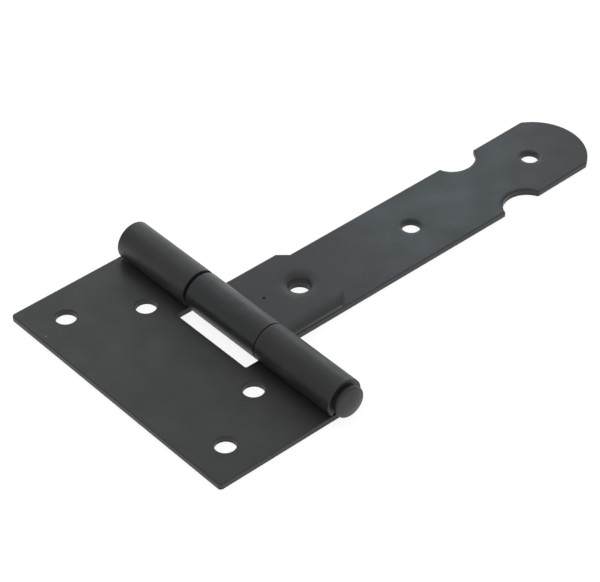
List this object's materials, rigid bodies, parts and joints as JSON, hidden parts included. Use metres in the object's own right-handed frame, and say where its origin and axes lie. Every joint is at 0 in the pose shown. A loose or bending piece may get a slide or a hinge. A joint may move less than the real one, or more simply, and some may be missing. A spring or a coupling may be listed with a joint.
{
  "type": "tee hinge",
  "caption": "Black steel tee hinge: a rectangular butt leaf and a long notched strap with a rounded tip, rolled round one headed pin, screw holes in both.",
  "frame": {"origin": "on the plane of the hinge's back, under the middle of the pin", "axes": "+X from the pin towards the strap's tip, +Y along the pin away from its head, +Z out of the hinge's face"},
  "size_m": [0.195, 0.1037, 0.013],
  "materials": {
    "leaf_coat": "satin black powder coat",
    "strap_coat": "satin black powder coat",
    "pin_coat": "satin black powder coat"
  },
  "bodies": {
    "butt": {"butt_leaf": "leaf_coat", "hinge_pin": "pin_coat"},
    "swinging_strap": {"strap": "strap_coat"}
  },
  "joints": [
    {"name": "strap_swing", "type": "hinge", "parent": "butt", "child": "swinging_strap", "pos_m": [0, 0, 0.0065], "axis": [0, -1, 0], "range_deg": [-110, 188]}
  ]
}
